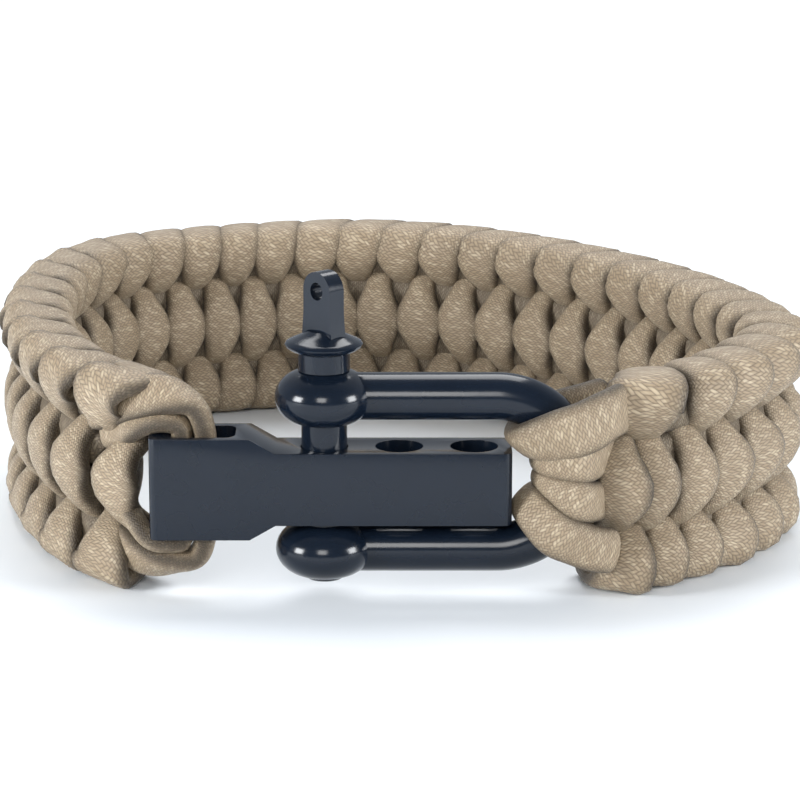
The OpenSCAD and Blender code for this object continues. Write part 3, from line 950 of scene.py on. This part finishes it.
@dataclass
class Strand:
    """A strand of cord that leaves the band and holds a piece of the closure."""

    name: str
    node: str
    # A row is X, Y, Z, and then across X, Y, Z and the share of the width
    rows: Sequence[Sequence[float]]
    wide: float
    thick: float
    rail: Rail
    cord: Cord
    sheath: Material
    # Points between two rows, rings for each millimetre, and points of a ring
    steps: int = 10
    rings_per_mm: int = 3
    sides: int = 24

    def build(self) -> None:
        """Builds the strand along its rows, and dresses it."""
        rows = [[*Vector(row[:3]), *Vector(row[3:6]).normalized(), self.wide * row[6]] for row in self.rows]
        fine = [spline(rows, i / self.steps) for i in range(self.steps * (len(rows) - 1) + 1)]
        points = [self.rail.placed(Vector(row[:3])) for row in fine]
        line = line_object(self.name + "_line", points, {
            "wide": [row[6] * MM for row in fine], "thick": [self.thick * MM] * len(fine),
            "side": [Vector(row[3:6]).normalized() for row in fine]})
        length = sum((b - a).length for a, b in zip(points, points[1:])) / MM
        tree = self.cord.sweep_tree(self.name + "_tree", int(length * self.rings_per_mm), self.sides, self.sheath)
        dress(tree.applied(line, self.name), Body.BRACELET, Slot.CORD, self.node)


@dataclass
class Loops:
    """The strands that hold the closure at both ends of the band."""

    rail: Rail
    closure: Closure
    cord: Cord
    sheath: Material
    gap: float = 0.12
    # Round the post: how far out a strand goes at a corner as a share of a side's, and where its straight side starts
    corner_share: float = 0.72
    corner_drop: float = 0.4
    # Back ends of the strands on the bow: how far inside the band, and how deep in it as a share of its thickness
    tail_l: float = 1.5
    tail_depth: float = 0.2
    # Share of a strand's narrowing inside the bend that is left out half way round the rod
    round_share: float = 0.3

    # Strands round the post of the bar's head, as head_loop takes them
    head_loops: tuple[tuple[str, str, int, Rows, Rows], ...] = (
        ("left_cord_inner", "left_loop_inner", 0,
         ((-22.6, 5.8, 15.4, 0, 0, 1, 0.7), (-20.6, 3.7, 16.3, 0, 0.4, 0.9, 0.8),
          (-18.9, 1.5, 17.8, 0, 0.85, 0.5, 0.95), (-16.5, 0.2, 18.5, 0, 1, 0.1, 1)),
         ((-21.8, 5.8, 11.0, 0, 0, -1, 0.7), (-20.3, 2.8, 9.6, 0.2, 0.3, -0.9, 0.8),
          (-19.0, 0.5, 7.7, 0.3, 0.5, -0.75, 0.9), (-17.2, -0.5, 6.1, 0.2, 0.9, -0.3, 1))),
        ("left_cord_outer", "left_loop_outer", 1,
         ((-24.0, 6.6, 17.6, 0.1, 0.3, 0.95, 0.9), (-22.0, 4.6, 18.6, 0.05, 0.4, 0.9, 1.0),
          (-19.9, 2.4, 20.0, 0, 0.6, 0.8, 1.1), (-17.6, 0.8, 20.8, 0, 0.72, 0.7, 1.12),
          (-15.2, 0.1, 20.9, 0, 0.85, 0.5, 1.05)),
         ((-22.2, 6.6, 5.2, 0, 0, -1, 0.9), (-20.5, 3.8, 4.5, 0, 0.3, -0.95, 1), (-18.7, 1.2, 3.9, 0, 0.6, -0.8, 1),
          (-16.2, -0.1, 3.6, 0, 0.85, -0.5, 1))))
    # Strands on the bow's bend, as bow_loop takes them
    bow_loops: tuple[tuple[Any, ...], ...] = (
        ("right_cord_upper", "right_loop_upper", 37, 14, 5.4, 2.3, 0.8,
         ((25.8, -3.3, 18.5), (28.2, -1.8, 19.4), (30.0, 1.2, 19.5), (31.6, 4.2, 19.0)), 8.0),
        ("right_cord_mid_upper", "right_loop_mid_upper", 14, 2, 4.2, 1.9, 0.42,
         ((26.3, -2.6, 14.9), (27.6, -0.2, 14.7), (29.6, 2.2, 14.4)), 2.6),
        ("right_cord_mid_lower", "right_loop_mid_lower", -13, 7, 4.2, 1.9, 0.42,
         ((26.3, -2.6, 10.7), (27.6, -0.2, 10.2), (29.6, 2.2, 9.9)), -2.2),
        ("right_cord_lower", "right_loop_lower", -43, 0, 4.7, 2.3, 0.85,
         ((25.0, -3.2, 6.7), (27.2, -2.3, 5.7), (29.4, -0.4, 5.0)), -6.9))

    def head_loop(self, name: str, node: str, layer: int, upper: Sequence[Sequence[float]],
                  lower: Sequence[Sequence[float]]) -> Strand:
        """A loop round the post of the bar's head, through its slot.

        Args:
            name: The strand's name.
            node: The CAD node that it stands for.
            layer: 0 on the post, 1 on layer 0.
            upper: Rows from the band's end towards the head, over its top.
            lower: The same under the head.

        Returns:
            The strand.
        """
        c, t = self.closure, self.cord.thick
        out = self.gap + t / 2 + layer * (t + self.gap)
        corner = out * self.corner_share
        right = c.post_x + c.post_l / 2
        top, bottom = c.bar_z + c.head_h / 2, c.bar_z - c.head_h / 2
        middle = [(right + corner, top + corner), (right + out, top - self.corner_drop), (right + out, c.bar_z),
                  (right + out, bottom + self.corner_drop), (right + corner, bottom - corner)]
        rows = [*upper, *((x, 0, z, 0, 1, 0, 1) for x, z in middle), *reversed(lower)]
        return Strand(name, node, rows, self.cord.wide, t, self.rail, self.cord, self.sheath)

    def bow_loop(self, name: str, node: str, at: float, swing: float, wide: float, thick: float, inner: float,
                 front: Sequence[Sequence[float]], back_z: float) -> Strand:
        """A loop round the bow's bend: over its front, through the bow and back behind it.

        Args:
            name: The strand's name.
            node: The CAD node that it stands for.
            at: The place on the bend in degrees, up from the bow's axis, at the rod's front and back.
            swing: How much higher the place is inside the bend, in degrees.
            wide: The strand's width.
            thick: The strand's thickness.
            inner: The share of the width inside the bend.
            front: Points from the rod's front to the end under the weave.
            back_z: The height of the back end from the band's middle.

        Returns:
            The strand.
        """
        c, rail = self.closure, self.rail
        out = c.rod_d / 2 + self.gap + thick / 2
        back = rail.band_point(rail.length() - self.tail_l, -rail.band_t * self.tail_depth, back_z)

        def round_rod(degrees: float, share: float = 1.0) -> tuple[float, ...]:
            """A row on the rod, 0 inside the bend and 90 at the front."""
            a = math.radians(degrees)
            turn = math.radians(at + swing * math.cos(a))
            radial = Vector((math.cos(turn), 0, math.sin(turn)))
            point = Vector((c.bend_x, -out * math.sin(a), c.middle_z)) + radial * (c.bend_r - out * math.cos(a))
            return (*point, -radial.z, 0, radial.x, share)

        slant = (Vector(round_rod(90)[3:6]) + UP).normalized()
        half = self.round_share + (1 - self.round_share) * inner
        rows = [*((*point, *UP, 1) for point in reversed(front[1:])), (*front[0], *slant, 1), round_rod(90),
                round_rod(45, half), round_rod(0, inner), round_rod(-45, half), round_rod(-90),
                (*Vector(round_rod(-90)[:3]).lerp(back, 0.5), *slant, 1), (*back, *UP, 1)]
        return Strand(name, node, rows, wide, thick, rail, self.cord, self.sheath)

    def build(self) -> None:
        """Builds and dresses the loops of both ends."""
        for row in self.head_loops:
            self.head_loop(*row).build()
        for row in self.bow_loops:
            self.bow_loop(*row).build()


# The metal


@dataclass
class Hardware:
    """The bow, the bar and the pin. Each is the CAD solid, shaded smooth, and the bar's edges are rounded."""

    nodes: Mapping[str, Object]
    coat: Material
    # Name of the piece, its node, its body, and width of its edges' rounding
    parts: tuple[tuple[str, str, Body, float], ...] = (
        ("bar_black", "adjuster_bar", Body.BRACELET, 0.35),
        ("bow_black", "shackle_bow", Body.BRACELET, 0.0),
        ("pin_black", "shackle_pin", Body.PIN, 0.0))
    # Least angles in degrees of an edge that is rounded, that shows sharp, and that isn't taken for part of a flat face
    rounded_from: float = 35.0
    sharp_from: float = 30.0
    kept_from: float = 0.5
    segments: int = 3
    # Points of a solid that are nearer than this are one, in metres
    merge: float = 1e-6

    def rounded(self, name: str, node: str, edge: float) -> Object:
        """Copies a node's solid, joins its loose triangles and rounds its edges.

        Args:
            name: The new piece's name.
            node: The node's name.
            edge: The width of the rounding, or 0 for none.

        Returns:
            The piece.
        """
        shape = bmesh.new()
        shape.from_mesh(self.nodes[node].data)
        bmesh.ops.remove_doubles(shape, verts=shape.verts, dist=self.merge)
        if edge:
            limit = math.radians(self.kept_from)
            bmesh.ops.dissolve_limit(shape, angle_limit=limit, verts=shape.verts, edges=shape.edges)
        mesh = bpy.data.meshes.new(name)
        shape.to_mesh(mesh)
        shape.free()
        mesh.materials.clear()
        mesh.materials.append(self.coat)
        piece = show(mesh, name)
        if edge:
            bevel = piece.modifiers.new("edges", "BEVEL")
            bevel.width, bevel.segments, bevel.limit_method = edge * MM, self.segments, "ANGLE"
            bevel.angle_limit, bevel.use_clamp_overlap = math.radians(self.rounded_from), True
            done = baked(piece)
            piece.modifiers.clear()
            piece.data = done
        smooth_by_angle(piece.data, self.sharp_from)
        return piece

    def build(self) -> None:
        """Builds and dresses the three pieces."""
        for name, node, body, edge in self.parts:
            dress(self.rounded(name, node, edge), body, Slot.METAL, node)


# The surroundings


@dataclass(frozen=True)
class Softbox:
    """A square of soft light that looks at the bracelet. Its places and side are in metres, its power in watts."""

    name: str
    place: Triple
    side: float
    power: float
    colour: Triple = (1.0, 1.0, 1.0)
    aim: Triple = (0.0, 0.0, 0.012)

    def build(self) -> None:
        """Builds the light."""
        light = bpy.data.lights.new(self.name, "AREA")
        light.shape, light.size, light.energy, light.color = "SQUARE", self.side, self.power, self.colour
        lamp = show(light, self.name)
        lamp.location = self.place
        lamp.rotation_euler = (Vector(self.aim) - Vector(self.place)).to_track_quat("-Z", "Y").to_euler()


@dataclass
class Studio:
    """A pale floor, soft light and the camera. Places and lengths are in metres."""

    floor: FloorFinish = field(default_factory=FloorFinish)
    floor_w: float = 6.0
    # The camera: how many degrees it looks down, focal length and picture width in pixels, and sensor in millimetres
    pitch: float = 14.3
    focal_px: float = 3455
    picture_w: float = 800
    sensor: float = 36
    eye: Triple = (0.00011, -0.37304, 0.10568)
    clip: tuple[float, float] = (0.01, 20)
    softboxes: tuple[Softbox, ...] = (
        Softbox("softbox_left", (-0.46, -0.26, 0.16), 0.18, 2.8, (0.96, 0.98, 1.0)),
        Softbox("softbox_right", (0.46, -0.20, 0.15), 0.18, 2.2, (0.96, 0.98, 1.0)),
        Softbox("softbox_top", (0.0, 0.34, 0.62), 0.50, 4.1),
        Softbox("softbox_front", (-0.06, -0.62, 0.28), 0.22, 1.5, (1.0, 0.99, 0.97)),
    )
    sky: Triple = (0.86, 0.92, 1.0)
    # Strength of the sky in front of the bracelet and behind it, and between which shares of the way it changes
    sky_front: float = 0.18
    sky_back: float = 0.50
    sky_change: tuple[float, float] = (-0.4, 0.5)

    def build(self) -> None:
        """Builds the floor, the lights and the camera."""
        scene = bpy.context.scene
        scene.view_settings.view_transform = "Standard"
        half = self.floor_w / 2
        mesh = bpy.data.meshes.new("floor")
        mesh.from_pydata([(-half, -half, 0), (half, -half, 0), (half, half, 0), (-half, half, 0)], [], [(0, 1, 2, 3)])
        mesh.materials.append(self.floor.make())
        show(mesh, "floor")
        for box in self.softboxes:
            box.build()
        world = bpy.data.worlds.new("studio")
        world.use_nodes = True
        net = Net(world.node_tree)
        _, behind, _ = net.add("ShaderNodeTexCoord").out("Generated").parts()
        strength = net.add("ShaderNodeMapRange", {"interpolation_type": "SMOOTHSTEP"}, {
            "Value": behind, "From Min": self.sky_change[0], "From Max": self.sky_change[1],
            "To Min": self.sky_front, "To Max": self.sky_back})
        net.feed(world.node_tree.nodes["Background"], {"Color": (*self.sky, 1), "Strength": strength.out()})
        scene.world = world
        lens = bpy.data.cameras.new("camera")
        lens.sensor_width, lens.lens = self.sensor, self.focal_px / self.picture_w * self.sensor
        lens.clip_start, lens.clip_end = self.clip
        camera = show(lens, "camera")
        camera.location = self.eye
        camera.rotation_euler = (math.radians(90 - self.pitch), 0, 0)
        scene.camera = camera
        LOG.info("studio: %d lights", len(self.softboxes))


def main() -> None:
    """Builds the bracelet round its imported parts."""
    logging.basicConfig(level=logging.INFO, format="%(name)s: %(message)s")
    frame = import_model()
    low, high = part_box("shackle_pin")
    closure, cord = Closure(), Cord()
    rail = Rail(Vector(((low.x + high.x) / 2, (low.y + high.y) / 2, low.z)) / MM - UP * closure.pin_foot)
    Studio().build()
    finish = CordFinish(cord.around)
    # The core strands take a darker copy of the sheath's material: painted shade inside the weave
    sheath, shaded = finish.make("cord_sheath"), replace(finish, light=CORE_LIGHT).make("cord_core_shaded")
    coat = MetalFinish().make()
    Band(rail, cord, sheath, shaded).build()
    Loops(rail, closure, cord, sheath).build()
    Hardware(frame["nodes"], coat).build()


if __name__ == "__main__":
    main()
